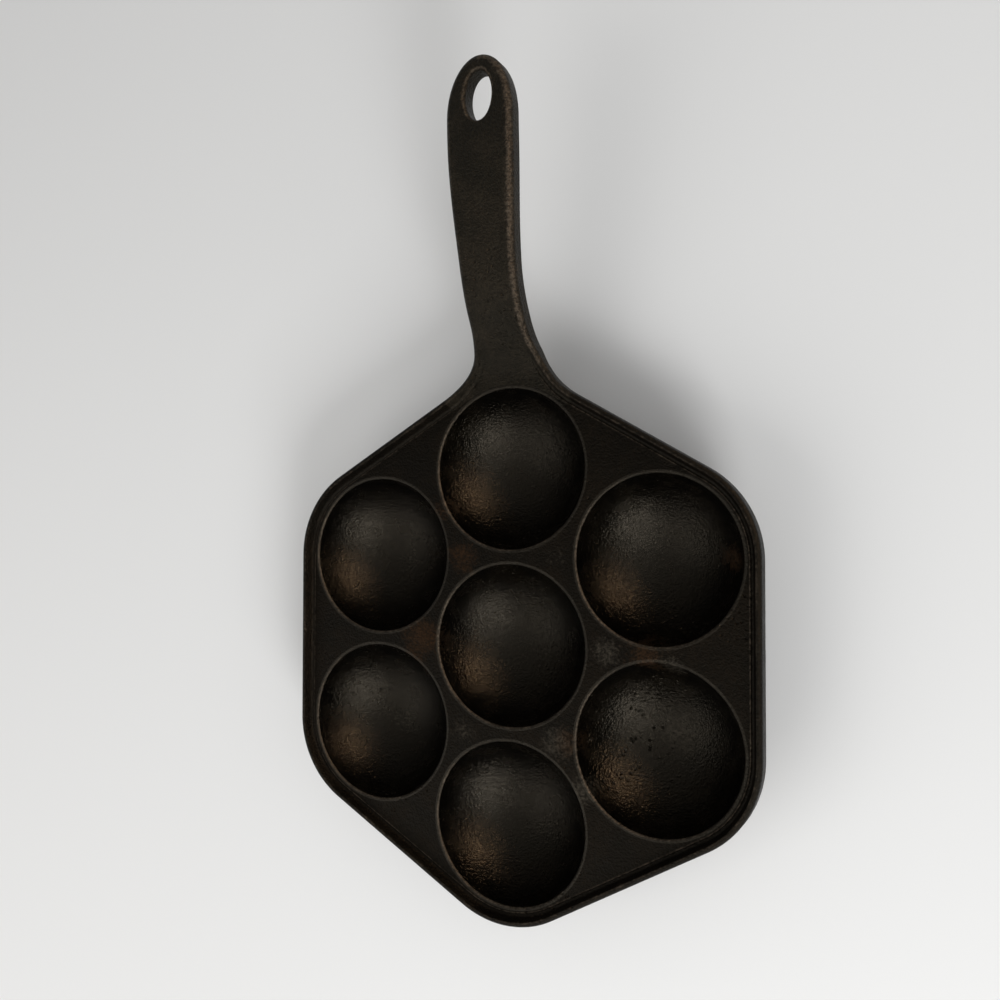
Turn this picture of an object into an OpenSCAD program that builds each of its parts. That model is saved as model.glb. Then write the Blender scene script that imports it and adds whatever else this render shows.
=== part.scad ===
// Aebleskiver pan: seven round wells hang from a six-sided deck with a raised rim and a long handle.
// The pan stands on z = 0, with its centre well on the z axis and its handle towards +y.
// On the bench it is one iron casting: each module below is one of its regions, meeting the next
// face to face.

/* [Wells] */
// Width of a well across its mouth
well_d = 60; // [50:0.5:75]
// Depth of a well below the deck
well_depth = 26; // [18:0.5:29]
// Iron between the mouths of two neighbouring wells
web_w = 5.4; // [4.4:0.1:10]
// Wall of a well
cup_wall = 4; // [3:0.1:5]
// Width of the collar that carries a well through the deck
collar_w = 1.2; // [1:0.1:1.5]
// Rounding of the mouth's edge
mouth_round = 0.8; // [0.4:0.1:0.9]
// Width of the flat foot under each well
foot_d = 16; // [8:0.5:24]

/* [Deck and rim] */
// Thickness of the deck
deck_t = 4; // [3:0.1:5]
// Iron from the mouth of an outer well to the outside of the rim
edge_w = 6.3; // [5.6:0.1:10]
// Width of the rim's bead at its foot
bead_w = 3.9; // [3:0.1:4]
// Height of the bead above the deck
bead_h = 3.2; // [2:0.1:5]
// Distance of the bead's crest from the outside of the rim
crest_in = 1.7; // [1:0.1:2]
// Bevel along the lower edge of the rim and the handle
under_bevel = 1; // [0.5:0.1:1.5]

/* [Handle] */
// Reach of the handle beyond the deck's corner
handle_reach = 109; // [85:1:150]
// Thickness of the handle
handle_t = 7.5; // [6:0.1:9]
// Width at the neck
neck_w = 22.2; // [18:0.2:28]
// Width of the grip at its widest
grip_w = 26.2; // [20:0.2:34]
// Length of the neck's parallel stretch
neck_l = 10; // [4:1:20]
// Distance of the widest place from the tip
belly_from_tip = 30; // [24:1:36]
// Length of the rounded end
end_l = 22; // [18:0.5:26]
// Rounding of the handle's upper edges
bevel = 1.8; // [1:0.1:2.5]
// Radius of the flare between the neck and the deck's sides
flare_r = 30.6; // [24:0.2:40]

/* [Rise of the handle] */
// Flat stretch of deck between the nearest mouth and the start of the rise
rise_start = 2.1; // [1:0.1:4]
// Radius of the hollow bend where the rise starts
rise_r1 = 16; // [10:0.5:24]
// Steepest slope of the rise, in degrees
rise_a1 = 43; // [30:1:50]
// Radius of the shoulder above it
rise_r2 = 62; // [45:1:80]
// Slope where the grip begins, in degrees
rise_a2 = 12.5; // [8:0.5:16]
// Radius of the long arch of the grip
rise_r3 = 272; // [200:2:400]

/* [Hanging eye] */
// Width of the eye
eye_w = 10.4; // [8:0.2:14]
// Length of the eye
eye_l = 17.6; // [14:0.2:22]
// Distance of the eye's middle from the tip
eye_from_tip = 14.8; // [13:0.2:20]

/* [Hidden] */

round_fn = 96;
sink = 1; // how far a cutting shape runs past the face that it cuts

// Wells
well_r = well_d / 2;
pitch = well_d + web_w;
bowl_r = (well_r * well_r + well_depth * well_depth) / (2 * well_depth);
shell_r = bowl_r + cup_wall;
foot_cut = shell_r - sqrt(shell_r * shell_r - foot_d * foot_d / 4);
deck_z = well_depth + cup_wall - foot_cut;
under_z = deck_z - deck_t;
bowl_z = deck_z - well_depth + bowl_r;
collar_r = well_r + collar_w;

// Outline of the deck: six sides, with corners that run round the outer wells
corner_r = well_r + edge_w;
apothem = pitch * cos(30) + corner_r;
strip_w = min(bead_w + 0.3, edge_w - collar_w - 0.3);
corners = [30:60:330];
corner_step = 5; // degrees of turn between two places on a corner
handle_at = 90;

// Plan of the handle
flare_x = neck_w / 2 + flare_r;
neck_y = (apothem + flare_r - flare_x * cos(60)) / sin(60);
side_cut = pitch / 2 - (neck_y * cos(60) - flare_x * sin(60));
tip_y = pitch + corner_r + handle_reach;
grow_y = neck_y + neck_l;
belly_y = tip_y - belly_from_tip;
end_y = tip_y - end_l;
eye_y = tip_y - eye_from_tip;
split_y = eye_y - eye_l / 2 - 8;

// Side view of the handle: three arcs, each tangent to the next
rise_y0 = pitch + well_r + rise_start;
rise_y1 = rise_y0 + rise_r1 * sin(rise_a1);
rise_z1 = rise_r1 * (1 - cos(rise_a1));
rise_y2 = rise_y1 + rise_r2 * (sin(rise_a1) - sin(rise_a2));
rise_z2 = rise_z1 + rise_r2 * (cos(rise_a2) - cos(rise_a1));

function mix(a, b, t) = a + (b - a) * t;
function clamp01(t) = max(0, min(1, t));
function ease(t) = t * t * (3 - 2 * t);
function dir(a) = [cos(a), sin(a)];

// Slope of the handle's top at y, and its height above the deck
function slope(y) =
    y <= rise_y0 ? 0 :
    y <= rise_y1 ? asin((y - rise_y0) / rise_r1) :
    y <= rise_y2 ? asin(sin(rise_a1) - (y - rise_y1) / rise_r2) :
    asin(sin(rise_a2) - (y - rise_y2) / rise_r3);
function rise(y) =
    y <= rise_y0 ? 0 :
    y <= rise_y1 ? rise_r1 * (1 - cos(slope(y))) :
    y <= rise_y2 ? rise_z1 + rise_r2 * (cos(slope(y)) - cos(rise_a1)) :
    rise_z2 + rise_r3 * (cos(slope(y)) - cos(rise_a2));

// The iron grows from the deck's thickness to the handle's along the flare
function iron_t(y) = mix(deck_t, handle_t, ease(clamp01((y - rise_y0) / (neck_y - rise_y0))));
function top_z(y) = deck_z + rise(y);
function low_z(y) = top_z(y) - iron_t(y) / cos(slope(y));

// Half the width of the handle at y, from the neck to the tip
function half_w(y) =
    y <= grow_y ? neck_w / 2 :
    y <= end_y ? mix(neck_w, grip_w, ease(clamp01((y - grow_y) / (belly_y - grow_y)))) / 2 :
    grip_w / 2 * sqrt(max(0, 1 - pow((y - end_y) / end_l, 2)));

// Section of the bead: distance in from the rim's outside, and height above the deck
function bead_top(n) =
    n <= crest_in ? bead_h / 2 * (1 + sin(acos(1 - n / crest_in))) :
    n <= bead_w ? bead_h * (1 + cos(180 * (n - crest_in) / (bead_w - crest_in))) / 2 : 0;
bead_in = concat(
    [for (a = [0:30:90]) crest_in * (1 - cos(a))],
    [for (t = [0.25:0.25:1]) mix(crest_in, bead_w, t)]
);

// Rounded upper edge of the handle: depth below the top, at a distance in from its side
function round_top(n, r) = n < r ? -r * (1 - sqrt(1 - pow(1 - n / r, 2))) : 0;

strip_section = concat(
    [[strip_w, -deck_t], [under_bevel, -deck_t], [0, under_bevel - deck_t]],
    [for (n = bead_in) [n, bead_top(n)]],
    [[strip_w, 0]]
);

// Deck

module deck_outline(inset, z, h) {
    r = corner_r - inset;
    translate([0, 0, z]) linear_extrude(h)
        polygon([for (a = corners, t = [a - 30:corner_step:a + 30]) pitch * dir(a) + r * dir(t)]);
}

module deck_web() {
    color("#241f1b") difference() {
        deck_outline(strip_w, under_z, deck_t);
        for (p = concat([[0, 0]], [for (a = corners) pitch * dir(a)]))
            translate([p.x, p.y, under_z - sink])
                cylinder(h = deck_t + 2 * sink, r = collar_r, $fn = round_fn);
    }
}

// Solid through rings

// Triangles over a section whose points 0 to m run out along its lower side and back along the upper
function cap(m) = [for (i = [0:m / 2 - 1])
    each concat([[i, i + 1, m - i]], i + 1 < m - i - 1 ? [[i + 1, m - i - 1, m - i]] : [])];

// The same over a section of n points that is its own mirror image
function twin_cap(n) =
    let (right = cap(n / 2))
    concat(right, [for (t = right) [(n - t[0]) % n, (n - t[2]) % n, (n - t[1]) % n]]);

module skin(rings, ends) {
    n = len(rings[0]);
    last = (len(rings) - 1) * n;
    sides = [for (i = [0:len(rings) - 2], j = [0:n - 1])
        let (a = i * n + j, b = i * n + (j + 1) % n)
        each [[a, b + n, b], [a, a + n, b + n]]];
    far = [for (t = ends) [last + t[2], last + t[1], last + t[0]]];
    polyhedron([for (ring = rings, p = ring) p], concat(sides, ends, far));
}

// Rim

// Places on the rim's outside and the way that it faces there, from one flare round to the other
rim_path = concat(
    [[apothem * dir(handle_at + 30) + (side_cut - pitch / 2) * dir(handle_at + 120), handle_at + 30]],
    [for (a = [handle_at + 60:60:handle_at + 300], t = [a - 30:corner_step:a + 30])
        [pitch * dir(a) + corner_r * dir(t), t]],
    [[apothem * dir(handle_at - 30) + (pitch / 2 - side_cut) * dir(handle_at + 60), handle_at - 30]]
);

module rim_bead() {
    color("#1f1c19") skin(
        [for (s = rim_path) [for (p = strip_section)
            let (q = s[0] - p.x * dir(s[1]))
            [q.x, q.y, deck_z + p.y]]],
        cap(len(strip_section) - 1)
    );
}

// Wells

// The space nearer to a well than to any of its neighbours
module center_cell() {
    cylinder(h = under_z, r = pitch / 2 / cos(30), $fn = 6);
}

module outer_cell(a) {
    near = pitch / 2 / cos(30);
    far = 3 * pitch;
    linear_extrude(under_z)
        polygon([near * dir(a - 30), far * dir(a - 30), far * dir(a + 30), near * dir(a + 30)]);
}

// A bowl with a flat foot and a collar; the cell that its shell may fill is given as a child
module well(p) {
    difference() {
        union() {
            intersection() {
                translate([p.x, p.y, bowl_z]) sphere(r = shell_r, $fn = round_fn);
                children();
            }
            translate([p.x, p.y, under_z]) cylinder(h = deck_t, r = collar_r, $fn = round_fn);
        }
        translate([p.x, p.y, bowl_z]) sphere(r = bowl_r, $fn = round_fn);
        translate([p.x, p.y, deck_z - mouth_round])
            cylinder(h = mouth_round + sink, r1 = well_r, r2 = well_r + mouth_round + sink, $fn = round_fn);
    }
}

module outer_well(a) {
    color("#2a2621") well(pitch * dir(a)) outer_cell(a);
}

module well_center() {
    color("#2a2621") well([0, 0]) center_cell();
}

module well_right_near() { outer_well(30); }
module well_at_handle() { outer_well(90); }
module well_left_near() { outer_well(150); }
module well_left_far() { outer_well(210); }
module well_opposite() { outer_well(270); }
module well_right_far() { outer_well(330); }

// Handle

// Right half of a ring, then the left half as its mirror image
function whole(half) = concat(
    half, [for (i = [len(half) - 2:-1:1]) [-half[i].x, half[i].y, half[i].z]]
);

// Half a ring of the flare. It lies on a line out of the centre of the flare's arc, at angle a,
// from the handle's middle to the outside. There the bead fades into the handle's bevel.
function flare_point(a, d) = [flare_x + d * cos(a), neck_y + d * sin(a)];
function flare_half(a) =
    let (
        fade = ease(clamp01((240 - a) / 60)),
        middle = -flare_x / cos(a),
        inner = [for (t = [0:0.25:1]) flare_point(a, mix(middle, flare_r + bead_w, t))],
        under = flare_point(a, flare_r + under_bevel),
        side = flare_point(a, flare_r)
    )
    concat(
        [for (p = inner) [p.x, p.y, low_z(p.y)]],
        [[under.x, under.y, low_z(under.y)], [side.x, side.y, low_z(side.y) + under_bevel]],
        [for (n = bead_in)
            let (p = flare_point(a, flare_r + n))
            [p.x, p.y, top_z(p.y) + mix(bead_top(n), round_top(n, bevel), fade)]],
        [for (i = [3:-1:0]) [inner[i].x, inner[i].y, top_z(inner[i].y)]]
    );

flare_rings = [for (a = [240:-5:180]) whole(flare_half(a))];

module handle_root() {
    color("#2e2822") difference() {
        skin(flare_rings, twin_cap(len(flare_rings[0])));
        deck_outline(strip_w, under_z - handle_t, 3 * handle_t);
        translate([0, pitch, bowl_z]) sphere(r = shell_r, $fn = round_fn);
    }
}

// Half a ring of the grip, square across the handle at y
function grip_half(y) =
    let (
        w = half_w(y),
        r = min(bevel, w / 2),
        low = min(under_bevel, w / 2)
    )
    concat(
        [[0, y, low_z(y)], [w - low, y, low_z(y)], [w, y, low_z(y) + low]],
        [for (a = [0:30:90])
            let (n = r * (1 - cos(a)))
            [w - n, y, top_z(y) + round_top(n, r)]],
        [[0, y, top_z(y)]]
    );

module handle_grip() {
    steps = 16;
    rings = [for (i = [0:steps]) whole(grip_half(mix(neck_y, split_y, i / steps)))];
    color("#3a3129") skin(rings, twin_cap(len(rings[0])));
}

module handle_end() {
    slot = (eye_l - eye_w) / 2;
    rings = concat(
        [for (i = [0:3]) whole(grip_half(mix(split_y, end_y, i / 4)))],
        [for (a = [0:7:84]) whole(grip_half(end_y + end_l * sin(a)))]
    );
    color("#3a3129") difference() {
        skin(rings, twin_cap(len(rings[0])));
        translate([0, eye_y, deck_z]) {
            for (s = [-1, 1])
                translate([0, s * slot, 0]) cylinder(h = 4 * handle_t, r = eye_w / 2, $fn = round_fn);
            translate([-eye_w / 2, -slot, 0]) cube([eye_w, 2 * slot, 4 * handle_t]);
        }
    }
}

deck_web();
rim_bead();
well_center();
well_at_handle();
well_opposite();
well_left_near();
well_left_far();
well_right_near();
well_right_far();
handle_root();
handle_grip();
handle_end();
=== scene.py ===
"""Aebleskiver pan in seasoned cast iron: its visible pieces, their finish, the light and the camera."""
from math import asin, atan2, ceil, cos, hypot, pi, radians, sin, sqrt

import bpy
import numpy as np
from mathutils import Matrix, Vector
from mathutils.geometry import delaunay_2d_cdt, tessellate_polygon


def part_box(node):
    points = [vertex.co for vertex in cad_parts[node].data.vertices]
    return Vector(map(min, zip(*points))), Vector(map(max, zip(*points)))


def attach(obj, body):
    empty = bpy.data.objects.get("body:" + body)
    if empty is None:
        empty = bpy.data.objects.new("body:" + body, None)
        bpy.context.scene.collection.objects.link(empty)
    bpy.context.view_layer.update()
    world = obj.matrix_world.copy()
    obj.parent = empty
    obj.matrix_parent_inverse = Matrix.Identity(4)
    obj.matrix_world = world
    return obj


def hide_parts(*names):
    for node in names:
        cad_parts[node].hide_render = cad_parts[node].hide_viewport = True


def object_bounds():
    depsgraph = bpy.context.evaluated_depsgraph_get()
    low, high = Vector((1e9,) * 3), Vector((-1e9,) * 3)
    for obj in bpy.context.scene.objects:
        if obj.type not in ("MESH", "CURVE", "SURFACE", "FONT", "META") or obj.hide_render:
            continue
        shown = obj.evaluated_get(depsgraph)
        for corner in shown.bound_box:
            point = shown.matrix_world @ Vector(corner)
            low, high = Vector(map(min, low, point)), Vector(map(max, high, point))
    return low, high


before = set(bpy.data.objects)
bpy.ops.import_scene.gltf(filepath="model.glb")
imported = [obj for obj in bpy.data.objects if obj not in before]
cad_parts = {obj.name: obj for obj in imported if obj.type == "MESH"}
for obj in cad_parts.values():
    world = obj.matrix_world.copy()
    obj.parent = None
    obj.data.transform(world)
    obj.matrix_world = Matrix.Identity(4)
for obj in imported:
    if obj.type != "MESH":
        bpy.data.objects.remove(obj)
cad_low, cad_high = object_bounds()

MM = 0.001  # every length below is in millimetres, and every angle in degrees

# Places that come from the frame
DECK_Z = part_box("deck_web")[1].z / MM
UNDER_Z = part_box("deck_web")[0].z / MM
PITCH = 2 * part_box("well_center")[1].y / MM
NECK_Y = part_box("handle_grip")[0].y / MM
SPLIT_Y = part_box("handle_end")[0].y / MM
TIP_Y = cad_high.y / MM

# Wells
WELL_R = 30.0
WELL_DEPTH = 26.0
WALL = 4.0
COLLAR_R = 31.2
MOUTH_ROUND = 0.95
FOOT_EASE = 0.35
BOWL_R = (WELL_R**2 + WELL_DEPTH**2) / (2 * WELL_DEPTH)
SHELL_R = BOWL_R + WALL
BOWL_Z = DECK_Z - WELL_DEPTH + BOWL_R
OUTER_AT = {
    "well_right_near": 30, "well_at_handle": 90, "well_left_near": 150,
    "well_left_far": 210, "well_opposite": 270, "well_right_far": 330,
}

# Fillets under the deck
FILLET = 1.3
SKIN_GAP = 0.02
SKIN_EDGE = 1.05

# Rim
CORNER_R = 36.3
BEAD_H = 3.2
CREST = 1.7
BEAD_FOOT = 3.4
GROOVE = 4.1
GROOVE_DEEP = 0.45
FOOT_DEEP = 0.15
LEDGE_TOP = 4.75
STRIP = 4.95
UNDER_ROUND = 1.1

# Handle
HANDLE_T = 7.5
NECK_W = 22.2
GRIP_W = 26.2
GROW_Y = NECK_Y + 10
BELLY_Y = TIP_Y - 30
END_L = 22.0
END_Y = TIP_Y - END_L
EDGE_ROUND = 2.4
FLARE_R = 30.6
FLARE_X = NECK_W / 2 + FLARE_R
EYE_R = 5.2
EYE_L = 8.8
EYE_Y = TIP_Y - 14.8
EYE_ROUND = 1.6

# Side view of the handle: three arcs, each tangent to the next
RISE_Y0 = PITCH + WELL_R + 2.1
RISE_R = (16.0, 62.0, 272.0)
RISE_A1 = radians(43)
RISE_A2 = radians(12.5)
RISE_Y1 = RISE_Y0 + RISE_R[0] * sin(RISE_A1)
RISE_Z1 = RISE_R[0] * (1 - cos(RISE_A1))
RISE_Y2 = RISE_Y1 + RISE_R[1] * (sin(RISE_A1) - sin(RISE_A2))
RISE_Z2 = RISE_Z1 + RISE_R[1] * (cos(RISE_A2) - cos(RISE_A1))

# Fineness of the meshes
TURN = 120
BOWL_STEPS = 36
MOUTH_STEPS = 7
SHELL_STEPS = 30
SKIN_STEPS = 10
ARC_STEP = 3
SIDE_STEP = 4.0
GRID = 2.0
SUPPORT = 0.12

# Marks of use: place x, y, reach and strength
RUST = [
    (-19, 33, 8, 0.8), (-29, 50, 7, 0.7), (-38, 1, 9, 1.0), (-44, -12, 6, 0.5),
    (22.5, -32.4, 6, 0.9), (52, 0, 7, 0.9), (79, 33, 6, 0.8), (3, 104, 7, 0.35),
]
BARE = [
    (38, 0, 7, 0.8), (19, -34, 8, 0.8), (29, -50, 6, 0.9), (19, 33, 6, 0.5), (-19, -33, 7, 0.6),
    (57, -32, 9, 0.8), (-60, -36, 9, 0.6), (-58, 30, 8, 0.6), (61, -4, 6, 0.7),
]
PITS = [(6.5, 119.8, 4, 1.0), (1, 112, 5, 0.6), (-6, 140, 5, 0.5)]


# Small tools

def direction(angle):
    return np.array([cos(radians(angle)), sin(radians(angle))])


def mix(a, b, t):
    return a + (b - a) * t


def ease(t):
    t = np.clip(t, 0, 1)
    return t * t * (3 - 2 * t)


def quarter(n, r):
    """Drop of a rounded edge of radius r, at a distance n in from its side."""
    return r * (1 - sqrt(max(0.0, 1 - (1 - n / r) ** 2))) if n < r else 0.0


def slope(y):
    if y <= RISE_Y0:
        return 0.0
    if y <= RISE_Y1:
        return asin((y - RISE_Y0) / RISE_R[0])
    if y <= RISE_Y2:
        return asin(sin(RISE_A1) - (y - RISE_Y1) / RISE_R[1])
    return asin(sin(RISE_A2) - (y - RISE_Y2) / RISE_R[2])


def top_z(y):
    """Height of the deck's or the handle's upper face at y."""
    if y <= RISE_Y0:
        return DECK_Z
    if y <= RISE_Y1:
        return DECK_Z + RISE_R[0] * (1 - cos(slope(y)))
    if y <= RISE_Y2:
        return DECK_Z + RISE_Z1 + RISE_R[1] * (cos(slope(y)) - cos(RISE_A1))
    return DECK_Z + RISE_Z2 + RISE_R[2] * (cos(slope(y)) - cos(RISE_A2))


def low_z(y):
    thick = mix(DECK_Z - UNDER_Z, HANDLE_T, ease((y - RISE_Y0) / (NECK_Y - RISE_Y0)))
    return top_z(y) - thick / cos(slope(y))


def half_w(y):
    """Half the width of the handle at y."""
    if y <= GROW_Y:
        return NECK_W / 2
    if y <= END_Y:
        return mix(NECK_W, GRIP_W, ease((y - GROW_Y) / (BELLY_Y - GROW_Y))) / 2
    return GRIP_W / 2 * sqrt(max(0.0, 1 - ((y - END_Y) / END_L) ** 2))


def bead(n):
    """Height above the deck of the rim's section, at a distance n in from its outside."""
    if n <= CREST:
        return BEAD_H / 2 * (1 + sqrt(1 - (1 - n / CREST) ** 2))
    if n <= BEAD_FOOT:
        t = (n - CREST) / (BEAD_FOOT - CREST)
        return mix(-FOOT_DEEP, BEAD_H, (1 + cos(pi * t)) / 2)
    if n <= GROOVE:
        return mix(-FOOT_DEEP, -GROOVE_DEEP, (n - BEAD_FOOT) / (GROOVE - BEAD_FOOT))
    if n <= LEDGE_TOP:
        return -GROOVE_DEEP * (1 - sqrt(1 - ((LEDGE_TOP - n) / (LEDGE_TOP - GROOVE)) ** 2))
    return 0.0


# Distances in from an edge at which its section has points
ROUND_IN = [EDGE_ROUND * (1 - cos(a * pi / 16)) for a in range(9)]
STRIP_IN = ROUND_IN + [2.6, 2.8, 3.0, 3.2, BEAD_FOOT, 3.75, 4.0, GROOVE,
                       4.18, 4.3, 4.5, LEDGE_TOP, STRIP]


def near_peak(n, place, reach):
    return np.exp(-((n - place) / reach) ** 2)


def strip_wear(n):
    return 0.55 * near_peak(n, CREST, 0.7) + 0.9 * near_peak(n, 4.45, 0.3)


def round_wear_and_highlight(n, x):
    """Wear on the handle's rounded edges, with a painted highlight that makes it stronger on its right side, which
    faces the light.
    """
    return (1.0 if x > 0 else 0.45) * near_peak(n, 1.3, 1.3)


# Meshes

def spots(xy, places):
    """How strongly each place marks each point."""
    total = np.zeros(len(xy))
    for x, y, reach, strength in places:
        total += strength * np.exp(-((xy[:, 0] - x) ** 2 + (xy[:, 1] - y) ** 2) / reach**2)
    return np.clip(total, 0, 1)


def add_piece(node, slot, points, faces, wear_and_highlight):
    """A closed mesh that stands for one node of the frame."""
    points = np.asarray(points, float)
    mesh = bpy.data.meshes.new(node + "_iron")
    mesh.from_pydata((points * MM).tolist(), [], faces)
    marks = {
        # rubbed edges together with painted highlights on the edges that face the light
        "wear_and_highlight": np.asarray(wear_and_highlight, float), "rust": spots(points, RUST),
        "bare": spots(points, BARE), "pits": spots(points, PITS),
        "lip": np.clip((points[:, 2] - DECK_Z + 1.2) / 0.8, 0, 1),
    }
    for mark, values in marks.items():
        mesh.attributes.new(mark, "FLOAT", "POINT").data.foreach_set("value", values.astype(np.float32))
    mesh.shade_smooth()
    mesh.set_sharp_from_angle(angle=radians(38))
    piece = bpy.data.objects.new(mesh.name, mesh)
    bpy.context.scene.collection.objects.link(piece)
    mesh.materials.append(MATERIALS[slot])
    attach(piece, "root")
    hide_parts(node)
    return piece


def slab(node, slot, plan, faces, top, bottom, wear_and_highlight):
    """A piece over a plan: its upper and lower faces, and walls along the plan's edges."""
    n = len(plan)
    upper = [(p[0], p[1], z) for p, z in zip(plan, top)]
    lower = [(p[0], p[1], z) for p, z in zip(plan, bottom)]
    edges = {(f[i], f[(i + 1) % len(f)]) for f in faces for i in range(len(f))}
    walls = [(a + n, b + n, b, a) for a, b in sorted(edges) if (b, a) not in edges]
    under = [tuple(i + n for i in reversed(f)) for f in faces]
    return add_piece(node, slot, upper + lower, list(faces) + under + walls, list(wear_and_highlight) * 2)


def grid_faces(rows, columns):
    """Faces of a grid whose points run along rows of so many columns."""
    return [
        (r * columns + c, r * columns + c + 1, (r + 1) * columns + c + 1, (r + 1) * columns + c)
        for r in range(rows - 1) for c in range(columns - 1)
    ]


def fill(points, chains, keep):
    """Triangles between the points that follow each chain's line and pass keep at their middle."""
    edges = [e for chain in chains for e in zip(chain, chain[1:])]
    found = delaunay_2d_cdt([Vector(p) for p in points], edges, [], 0, 1e-5)
    source = [ids[0] for ids in found[3]]
    faces = [tuple(source[i] for i in f) for f in found[2]]
    return [f for f in faces if keep(*np.mean([points[i] for i in f], axis=0))]


# Wells

def well_centre(angle):
    return np.zeros(2) if angle is None else PITCH * direction(angle)


WELL_CENTRES = [well_centre(None)] + [well_centre(a) for a in OUTER_AT.values()]
AROUND = [360 / TURN * j for j in range(TURN)]
CIRCLE = np.array([direction(a) for a in AROUND])


def inner_profile():
    """The bowl from its lowest point up, its rounded mouth and its collar, as radius, height, and the mouth edge's
    wear with its painted highlight.
    """
    mouth_z = DECK_Z - MOUTH_ROUND
    reach = BOWL_R + MOUTH_ROUND
    tilt = asin((BOWL_Z - mouth_z) / reach)
    mouth_r = reach * cos(tilt)
    bowl = [-pi / 2 + (pi / 2 - tilt) * k / BOWL_STEPS for k in range(1, BOWL_STEPS + 1)]
    turn = [mix(pi - tilt, pi / 2, k / MOUTH_STEPS) for k in range(1, MOUTH_STEPS + 1)]
    return (
        [(BOWL_R * cos(a), BOWL_Z + BOWL_R * sin(a), 0) for a in bowl]
        + [(mouth_r + MOUTH_ROUND * cos(a), mouth_z + MOUTH_ROUND * sin(a), sin(pi * k / MOUTH_STEPS) ** 0.6)
           for k, a in enumerate(turn, 1)]
        + [(COLLAR_R, DECK_Z, 0)]
    )


def edge_room(centre, angle, xy):
    """Distance from each point to the rim's lower edge, on an outer well's free side."""
    if angle is None:
        return np.full(len(xy), 99.0)
    local = xy - centre
    off = np.abs((np.degrees(np.arctan2(local[:, 1], local[:, 0])) - angle + 180) % 360 - 180)
    return CORNER_R - SKIN_EDGE - np.hypot(*local.T) * np.cos(np.radians(np.maximum(0, off - 30)))


def skin_reach(centre, angle):
    """How far the iron under the deck that belongs to a well goes, in each direction."""
    reach = np.full(TURN, 99.0)
    for other in WELL_CENTRES:
        gap = other - centre
        if 0 < hypot(*gap) < 1.5 * PITCH:
            toward = CIRCLE @ gap / hypot(*gap)
            reach = np.where(toward > 0.05, np.minimum(reach, PITCH / 2 / np.maximum(toward, 0.05)), reach)
    if angle is not None:
        off = np.abs((np.array(AROUND) - angle + 180) % 360 - 180)
        side = np.cos(np.radians(np.maximum(0, off - 30)))
        reach = np.where(side > 0.05, np.minimum(reach, (CORNER_R - SKIN_EDGE) / np.maximum(side, 0.05)), reach)
    return reach


def foot_ease(z):
    """Height z, kept above the floor by a soft edge round the well's flat foot."""
    return (z + np.hypot(z, FOOT_EASE)) / 2


def skin_z(centre, angle, xy):
    """Height of the underside: the shells and the deck's lower face, with fillets between them."""
    across = [np.hypot(*(xy - c).T) for c in WELL_CENTRES]
    low, high = np.full(len(xy), -5.0), np.full(len(xy), UNDER_Z)
    flat = UNDER_Z - SKIN_GAP
    for _ in range(36):
        z = (low + high) / 2
        inside = np.exp((z - flat) / FILLET)
        for r in across:
            inside = inside + np.exp(-(np.hypot(r, z - BOWL_Z) - SHELL_R) / FILLET)
        low, high = np.where(inside < 1, z, low), np.where(inside < 1, high, z)
    z = mix(flat, low, ease(edge_room(centre, angle, xy) / 1.9))
    return foot_ease(z) - foot_ease(BOWL_Z - SHELL_R)


def add_well(node, angle):
    centre = well_centre(angle)
    rings, wear_and_highlight = [], []
    for r, z, worn_and_lit in inner_profile():
        rings.append(np.column_stack([centre + r * CIRCLE, np.full(TURN, z)]))
        # Painted highlight: the mouth's lighter edge is strongest toward the lower left, where it catches the
        # light, and weakest on the far side.
        side = 0.55 + 0.45 * (CIRCLE @ direction(215))
        wear_and_highlight.append(worn_and_lit * side)
    reach = skin_reach(centre, angle)[:, None]
    shelf_z = UNDER_Z - SKIN_GAP / 2
    for r in (COLLAR_R, reach):
        rings.append(np.column_stack([centre + r * CIRCLE, np.full(TURN, shelf_z)]))
    wall = np.minimum(SHELL_R * cos(asin((BOWL_Z - UNDER_Z) / SHELL_R)), reach - 0.6)
    radii = [mix(reach, wall, k / SKIN_STEPS) for k in range(SKIN_STEPS)]
    radii += [wall * cos(pi / 2 * k / SHELL_STEPS) for k in range(SHELL_STEPS)]
    for r in radii:
        xy = centre + r * CIRCLE
        rings.append(np.column_stack([xy, skin_z(centre, angle, xy)]))
    wear_and_highlight += [np.zeros(TURN)] * (len(rings) - len(wear_and_highlight))

    points = [(*centre, BOWL_Z - BOWL_R)] + [p for ring in rings for p in ring] + [(*centre, 0.0)]
    last = len(points) - 1
    start = [1 + k * TURN for k in range(len(rings))]
    turn = [(j, (j + 1) % TURN) for j in range(TURN)]
    faces = [(0, 1 + i, 1 + j) for i, j in turn]
    faces += [(a + i, b + i, b + j, a + j) for a, b in zip(start, start[1:]) for i, j in turn]
    faces += [(start[-1] + i, last, start[-1] + j) for i, j in turn]
    add_piece(node, "well_iron", points, faces, np.concatenate([[0], *wear_and_highlight, [0]]))


# Outline of the deck

def run(a, b, step):
    """Points from a to b, without a, no further apart than step."""
    count = max(1, ceil(hypot(*(b - a)) / step))
    return [mix(a, b, k / count) for k in range(1, count + 1)]


FLARE_START = np.array([FLARE_X, NECK_Y]) + FLARE_R * direction(240)
MIRROR = np.array([-1, 1])


def corner(angle, facing):
    return PITCH * direction(angle) + CORNER_R * direction(facing)


def rim_path():
    """Places on the rim's outside, with the way it faces, from the left flare round to the right."""
    path = [(FLARE_START * MIRROR, 120)]
    for angle in range(150, 450, 60):
        path += [(p, angle - 30) for p in run(path[-1][0], corner(angle, angle - 30), SIDE_STEP)]
        path += [(corner(angle, f), f) for f in range(angle - 30 + ARC_STEP, angle + 31, ARC_STEP)]
    return path + [(p, 60) for p in run(path[-1][0], FLARE_START, SIDE_STEP)]


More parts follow.
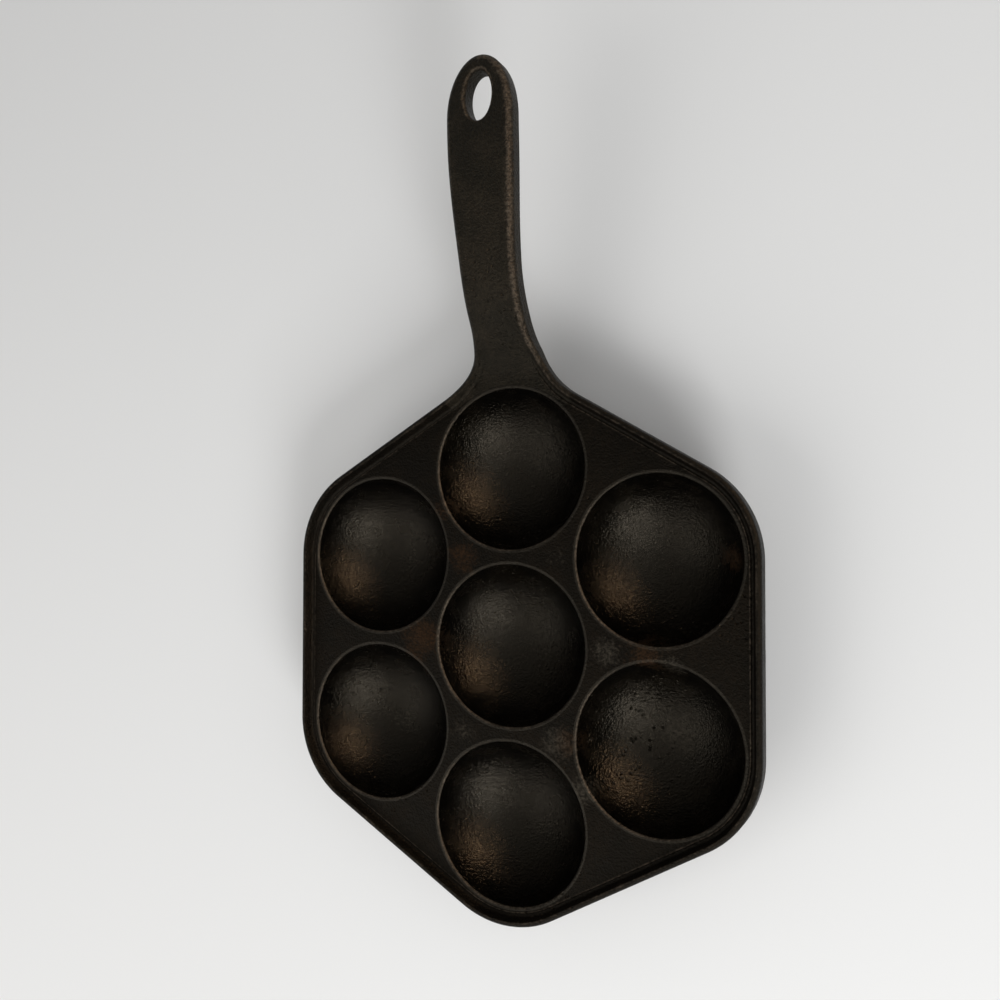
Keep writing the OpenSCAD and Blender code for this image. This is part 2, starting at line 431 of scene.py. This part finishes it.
def root_line():
    """The deck's edge where the handle grows from it, from right to left."""
    start, end = FLARE_START, corner(90, 60)
    path = [(p, 60) for p in [start] + run(start, end, SIDE_STEP)]
    path += [(corner(90, f), f) for f in range(60 + ARC_STEP, 121, ARC_STEP)]
    path += [(p, 120) for p in run(corner(90, 120), start * MIRROR, SIDE_STEP)]
    return [p - STRIP * direction(f) for p, f in path]


def add_deck():
    outline = [p - STRIP * direction(f) for p, f in rim_path()] + root_line()[1:-1]
    points, chains = list(outline), [[*range(len(outline)), 0]]
    for c in WELL_CENTRES:
        first = len(points)
        points += [c + COLLAR_R * d for d in CIRCLE]
        chains.append([*range(first, first + TURN), first])
    fixed = np.array(points)
    for x in np.arange(-100, 100, GRID):
        for y in np.arange(-100, 100, GRID * 0.866):
            p = np.array([x + (round(y / (GRID * 0.866)) % 2) * GRID / 2, y])
            off_wells = min(hypot(*(p - c)) for c in WELL_CENTRES) > COLLAR_R + 0.8
            if off_wells and inside_outline(p, outline) and min(np.hypot(*(fixed - p).T)) > GRID * 0.6:
                points.append(p)
    faces = fill(points, chains, lambda x, y: min(hypot(x - c[0], y - c[1]) for c in WELL_CENTRES) > COLLAR_R)
    n = len(points)
    slab("deck_web", "deck_iron", points, faces, [DECK_Z] * n, [UNDER_Z] * n, [0.0] * n)


def inside_outline(p, outline):
    """Whether p is inside a convex outline that runs against the clock."""
    a = np.array(outline)
    b = np.roll(a, -1, axis=0)
    side = (b - a)[:, 0] * (p - a)[:, 1] - (b - a)[:, 1] * (p - a)[:, 0]
    return side.min() > 0.5


def add_rim():
    section = [(n, quarter(n, UNDER_ROUND) + UNDER_Z) for n in reversed(STRIP_IN)]
    section += [(n, DECK_Z + bead(n)) for n in STRIP_IN]
    m = len(section)
    path = rim_path()
    points, wear_and_highlight = [], []
    for place, facing in path:
        for k, (n, z) in enumerate(section):
            points.append((*(place - n * direction(facing)), z))
            wear_and_highlight.append(strip_wear(n) if k >= m // 2 else 0.0)
    faces = [
        (r * m + c, r * m + (c + 1) % m, (r + 1) * m + (c + 1) % m, (r + 1) * m + c)
        for r in range(len(path) - 1) for c in range(m)
    ]
    cap = tessellate_polygon([[Vector((n, z, 0)) for n, z in section]])
    last = (len(path) - 1) * m
    for a, b, c in cap:
        (ax, ay), (bx, by), (cx, cy) = section[a], section[b], section[c]
        if (bx - ax) * (cy - ay) - (by - ay) * (cx - ax) < 0:
            b, c = c, b
        faces += [(a, c, b), (last + a, last + b, last + c)]
    faces = [tuple(reversed(f)) for f in faces]
    add_piece("rim_bead", "rim_iron", points, faces, wear_and_highlight)


# Handle

def add_root():
    """The flare: a strip along each side, in which the bead fades away, and the deck rising between."""
    seam = list(reversed(root_line()))
    across = len(seam) - 1
    angles = [240 - ARC_STEP * k for k in range(60 // ARC_STEP)] + [180 + SUPPORT, 180]
    centre = np.array([FLARE_X, NECK_Y])
    inner = (FLARE_R + STRIP)
    right = [centre + inner * direction(a) for a in angles]
    left = [p * MIRROR for p in right]
    neck = [mix(left[-1], right[-1], k / across) for k in range(across + 1)]
    plan, top, bottom, wear_and_highlight = [], [], [], []

    def put(p, n=None, fade=0.0):
        plan.append(p)
        rise, sink, worn_and_lit = 0.0, 0.0, 0.0
        if n is not None:
            rise = mix(bead(n), -quarter(n, EDGE_ROUND), fade)
            sink = quarter(n, UNDER_ROUND)
            worn_and_lit = mix(strip_wear(n), round_wear_and_highlight(n, p[0]), fade)
        top.append(top_z(p[1]) + rise)
        bottom.append(low_z(p[1]) + sink)
        wear_and_highlight.append(worn_and_lit)

    for row, a in enumerate(angles):
        v = (240 - a) / 60
        fade = ease(v)
        edge = [centre + (FLARE_R + n) * direction(a) for n in STRIP_IN]
        for p, n in zip(edge, STRIP_IN):
            put(p * MIRROR, n, fade)
        for k in range(1, across):
            u = k / across
            put(
                mix(seam[k], neck[k], v) + mix(left[row], right[row], u)
                - mix(mix(left[0], right[0], u), mix(left[-1], right[-1], u), v)
            )
        for p, n in zip(reversed(edge), reversed(STRIP_IN)):
            put(p, n, fade)
    columns = 2 * len(STRIP_IN) + across - 1
    slab("handle_root", "handle_iron", plan, grid_faces(len(angles), columns), top, bottom, wear_and_highlight)


def add_grip():
    steps = ceil((SPLIT_Y - NECK_Y) / 2.5)
    stations = [mix(NECK_Y, SPLIT_Y, k / steps) for k in range(steps + 1)]
    stations = [NECK_Y, NECK_Y + SUPPORT] + stations[1:-1] + [SPLIT_Y - SUPPORT, SPLIT_Y]
    middle = 8
    plan, top, bottom, wear_and_highlight = [], [], [], []
    for y in stations:
        w = half_w(y)
        flat = w - EDGE_ROUND
        row = [(n - w, n) for n in ROUND_IN]
        row += [(mix(-flat, flat, k / middle), None) for k in range(1, middle)]
        row += [(w - n, n) for n in reversed(ROUND_IN)]
        for x, n in row:
            plan.append((x, y))
            top.append(top_z(y) - (0 if n is None else quarter(n, EDGE_ROUND)))
            bottom.append(low_z(y) + (0 if n is None else quarter(n, UNDER_ROUND)))
            wear_and_highlight.append(0 if n is None else round_wear_and_highlight(n, x))
    columns = 2 * len(ROUND_IN) + middle - 1
    slab("handle_grip", "handle_iron", plan, grid_faces(len(stations), columns), top, bottom, wear_and_highlight)


def end_outline():
    """The outline of the handle's end from right to left, each point with its inward direction."""
    side = [SPLIT_Y, SPLIT_Y + SUPPORT] + [mix(SPLIT_Y, END_Y, k / 4) for k in range(1, 4)]
    right = [(np.array([half_w(y), y]), np.array([-1.0, 0.0])) for y in side]
    tip = []
    for a in np.linspace(0, 180, 61):
        x, y = direction(a) * (GRIP_W / 2, END_L)
        inward = -np.array([x / (GRIP_W / 2) ** 2, y / END_L**2])
        tip.append((np.array([x, END_Y + y]), inward / hypot(*inward)))
    left = [(p * MIRROR, -d) for p, d in reversed(right)]
    return right + tip + left


def eye_outline(out):
    """The eye's oval outline, a distance out from its throat."""
    points = []
    for a in range(0, 360, 6):
        x, y = direction(a) * (EYE_R, EYE_L)
        outward = np.array([x / EYE_R**2, y / EYE_L**2])
        points.append(np.array([x, EYE_Y + y]) + out * outward / hypot(*outward))
    return points


def eye_distance(x, y):
    """About how far a point is outside the eye's throat."""
    return EYE_R * (hypot(x / EYE_R, (y - EYE_Y) / EYE_L) - 1)


def add_end():
    plan, drop, lift, wear_and_highlight, chains = [], [], [], [], []

    def put(p, down=0.0, up=0.0, worn_and_lit=0.0):
        plan.append(p)
        drop.append(down)
        lift.append(up)
        wear_and_highlight.append(worn_and_lit)
        return len(plan) - 1

    outline = end_outline()
    loops = []
    for n in ROUND_IN:
        loops.append([
            put(p + n * d, quarter(n, EDGE_ROUND), quarter(n, UNDER_ROUND), round_wear_and_highlight(n, p[0]))
            for p, d in outline
        ])
    chains += loops
    chains.append([loop[0] for loop in loops] + [loop[-1] for loop in reversed(loops)])
    eye_in = [EYE_ROUND * (1 - cos(a * pi / 12)) for a in range(7)]
    for n in eye_in:
        ring = [
            put(p, quarter(n, EYE_ROUND), quarter(n, UNDER_ROUND), 0.8 * near_peak(n, 0.7, 0.7))
            for p in eye_outline(n)
        ]
        chains.append(ring + ring[:1])
    inner = np.array([plan[i] for i in loops[-1]])
    for y in [SPLIT_Y, SPLIT_Y + SUPPORT] + list(np.arange(SPLIT_Y + 2, TIP_Y, GRID)):
        for x in np.arange(-10, 10.1, GRID):
            clear = min(np.hypot(*(inner - (x, y)).T))
            if clear > 0.9 and abs(x) < half_w(y) - EDGE_ROUND - 0.8 and eye_distance(x, y) > EYE_ROUND + 0.9:
                put(np.array([x, y]))
    faces = fill(plan, chains, lambda x, y: eye_distance(x, y) > -0.01)
    top = [top_z(p[1]) - d for p, d in zip(plan, drop)]
    bottom = [low_z(p[1]) + d for p, d in zip(plan, lift)]
    slab("handle_end", "handle_iron", plan, faces, top, bottom, wear_and_highlight)


# Materials

def build_iron(name, dark, brown, rough, grain, shine):
    """Seasoned cast iron. dark and brown are its two tones, and grain the depth of its sand texture."""
    oil = (1.0, 0.86, 0.66, 1)  # tint that the baked oil gives to its gloss
    material = bpy.data.materials.new(name)
    material.use_nodes = True
    nodes, links = material.node_tree.nodes, material.node_tree.links
    shader = nodes["Principled BSDF"]

    def put(kind, values=(), **settings):
        node = nodes.new(kind)
        for key, value in settings.items():
            setattr(node, key, value)
        for socket, value in dict(values).items():
            if isinstance(value, bpy.types.NodeSocket):
                links.new(value, node.inputs[socket])
            else:
                node.inputs[socket].default_value = value
        return node

    def noise(scale, detail=4.0, roughness=0.55):
        values = {"Vector": place, "Scale": scale, "Detail": detail, "Roughness": roughness}
        return put("ShaderNodeTexNoise", values).outputs["Fac"]

    def math(kind, a, b):
        return put("ShaderNodeMath", {0: a, 1: b}, operation=kind).outputs[0]

    def ramp(value, low, high, to_low=0.0, to_high=1.0):
        values = {"Value": value, "From Min": low, "From Max": high, "To Min": to_low, "To Max": to_high}
        return put("ShaderNodeMapRange", values, interpolation_type="SMOOTHSTEP").outputs["Result"]

    def blend(factor, a, b):
        node = put("ShaderNodeMix", {0: factor}, data_type="RGBA")
        for socket, value in ((node.inputs[6], a), (node.inputs[7], b)):
            if isinstance(value, bpy.types.NodeSocket):
                links.new(value, socket)
            else:
                socket.default_value = (*value, 1)
        return node.outputs[2]

    def mark(which):
        return put("ShaderNodeAttribute", attribute_name=which).outputs["Fac"]

    place = put("ShaderNodeTexCoord").outputs["Object"]
    broad = noise(28, 3)
    cloud = noise(110, 5, 0.62)
    speck = noise(750, 3, 0.6)
    sand = noise(1400, 2, 0.6)

    # This mask lightens rubbed edges and also carries painted highlights: the well mouths' lower-left edges and
    # the handle's right-hand edges are made lighter where the light catches them.
    worn_and_lit = math("ADD", mark("wear_and_highlight"), math("ADD", math("MULTIPLY", cloud, 0.7), math("MULTIPLY", speck, 0.7)))
    worn_and_lit = ramp(worn_and_lit, 1.05, 1.7)
    rusty = ramp(math("ADD", mark("rust"), math("ADD", cloud, speck)), 1.25, 2.0)
    bared = ramp(math("ADD", mark("bare"), math("MULTIPLY", speck, 1.1)), 0.9, 1.5)

    colour = blend(ramp(math("ADD", broad, cloud), 0.8, 1.25), dark, brown)
    colour = blend(math("MULTIPLY", rusty, 0.75), colour, (0.0180, 0.0085, 0.0036))
    colour = blend(math("MULTIPLY", bared, 0.6), colour, (0.034, 0.029, 0.022))
    # Lighter colour of rubbed edges, which also serves as the painted highlight on edges that face the light.
    colour = blend(math("MULTIPLY", worn_and_lit, 0.85), colour, (0.048, 0.037, 0.027))
    grit = ramp(math("ADD", math("MULTIPLY", sand, 0.6), math("MULTIPLY", speck, 0.4)), 0.36, 0.64, 0.45, 1.75)
    tone = put("ShaderNodeVectorMath", {0: colour}, operation="SCALE")
    links.new(grit, tone.inputs["Scale"])
    links.new(tone.outputs[0], shader.inputs["Base Color"])

    matt = math("ADD", ramp(cloud, 0.3, 0.7, rough - 0.06, rough + 0.08), math("MULTIPLY", rusty, 0.22))
    matt = math("ADD", matt, math("MULTIPLY", bared, 0.1))
    links.new(math("MAXIMUM", matt, math("MULTIPLY", mark("lip"), 0.42)), shader.inputs["Roughness"])
    links.new(math("MULTIPLY", math("MAXIMUM", worn_and_lit, bared), 0.3), shader.inputs["Metallic"])
    shader.inputs["Specular IOR Level"].default_value = shine
    shader.inputs["Specular Tint"].default_value = oil

    cells = put("ShaderNodeTexVoronoi", {"Vector": place, "Scale": 420.0}).outputs["Distance"]
    pitted = math("MULTIPLY", ramp(cells, 0.05, 0.3, 1.0, 0.0), math("ADD", mark("pits"), ramp(broad, 0.56, 0.7)))
    height = math("ADD", math("MULTIPLY", speck, 0.4), math("MULTIPLY", sand, 0.6))
    height = math("SUBTRACT", height, math("MULTIPLY", pitted, 0.9))
    swell = put("ShaderNodeBump", {"Height": noise(55, 2), "Strength": 0.5, "Distance": 0.0004})
    texture = put("ShaderNodeBump", {
        "Height": height, "Strength": 1.0, "Distance": grain * MM, "Normal": swell.outputs["Normal"],
    })
    links.new(texture.outputs["Normal"], shader.inputs["Normal"])
    return material


MATERIALS = {
    "deck_iron": build_iron("deck_iron", (0.0007, 0.0005, 0.0003), (0.0024, 0.0015, 0.0008), 0.42, 0.70, 0.09),
    "rim_iron": build_iron("rim_iron", (0.0008, 0.0006, 0.0004), (0.0025, 0.0017, 0.0010), 0.40, 0.65, 0.11),
    "well_iron": build_iron("well_iron", (0.0005, 0.0004, 0.0003), (0.0018, 0.0013, 0.0007), 0.23, 0.55, 0.26),
    "handle_iron": build_iron("handle_iron", (0.0038, 0.0033, 0.0022), (0.0090, 0.0070, 0.0045), 0.40, 0.90, 0.15),
}

add_deck()
add_rim()
add_well("well_center", None)
for well_node, well_angle in OUTER_AT.items():
    add_well(well_node, well_angle)
add_root()
add_grip()
add_end()


# Floor, light and camera

def add_floor():
    reach, colour = 12.0, (0.80, 0.795, 0.785, 1)
    mesh = bpy.data.meshes.new("floor")
    mesh.from_pydata([(-reach, -reach, 0), (reach, -reach, 0), (reach, reach, 0), (-reach, reach, 0)],
                     [], [(0, 1, 2, 3)])
    floor = bpy.data.objects.new("floor", mesh)
    bpy.context.scene.collection.objects.link(floor)
    material = bpy.data.materials.new("floor_paint")
    material.use_nodes = True
    shader = material.node_tree.nodes["Principled BSDF"]
    shader.inputs["Base Color"].default_value = colour
    shader.inputs["Roughness"].default_value = 1.0
    shader.inputs["Specular IOR Level"].default_value = 0.0
    mesh.materials.append(material)


def add_lamp(name, toward, distance, size, power, colour, floor=True):
    """A square soft lamp that faces the pan from a direction. One that spares the floor lights by gloss only."""
    lamp = bpy.data.lights.new(name, "AREA")
    lamp.size, lamp.energy, lamp.color = size, power, colour
    holder = bpy.data.objects.new(name, lamp)
    toward = Vector(toward).normalized()
    holder.location = toward * distance
    holder.rotation_euler = toward.to_track_quat("Z", "Y").to_euler()
    holder.visible_diffuse = floor
    bpy.context.scene.collection.objects.link(holder)


def add_camera():
    camera = bpy.data.cameras.new("camera")
    camera.lens, camera.sensor_width, camera.clip_start = 35.53, 36.0, 0.01
    holder = bpy.data.objects.new("camera", camera)
    view = Vector((-0.4487, 0.0247, -0.8933)).normalized()
    right = view.cross(Vector((0.0099, 0.9997, 0.0227))).normalized()
    axes = Matrix((right, right.cross(view), -view)).transposed().to_4x4()
    holder.matrix_world = Matrix.Translation((0.1612, 0.0448, 0.35735)) @ axes
    bpy.context.scene.collection.objects.link(holder)
    bpy.context.scene.camera = holder


def set_world(colour, strength):
    world = bpy.data.worlds.new("room")
    world.use_nodes = True
    world.node_tree.nodes["Background"].inputs["Color"].default_value = (*colour, 1)
    world.node_tree.nodes["Background"].inputs["Strength"].default_value = strength
    bpy.context.scene.world = world


add_floor()
add_lamp("key", (-0.55, -0.55, 0.65), 1.25, 1.10, 6.8, (1.0, 0.995, 0.98))
add_lamp("side", (0.53, -0.67, 0.515), 1.1, 0.42, 7.4, (0.98, 0.99, 1.0))
add_lamp("fill", (0.75, 0.10, 0.75), 1.4, 1.20, 3.4, (1.0, 0.995, 0.98))
add_lamp("warm", (0.76, 0.56, 0.36), 0.9, 0.20, 5.0, (1.0, 0.72, 0.50), floor=False)
set_world((0.985, 0.99, 1.0), 0.36)
add_camera()
bpy.context.scene.view_settings.view_transform = "Standard"
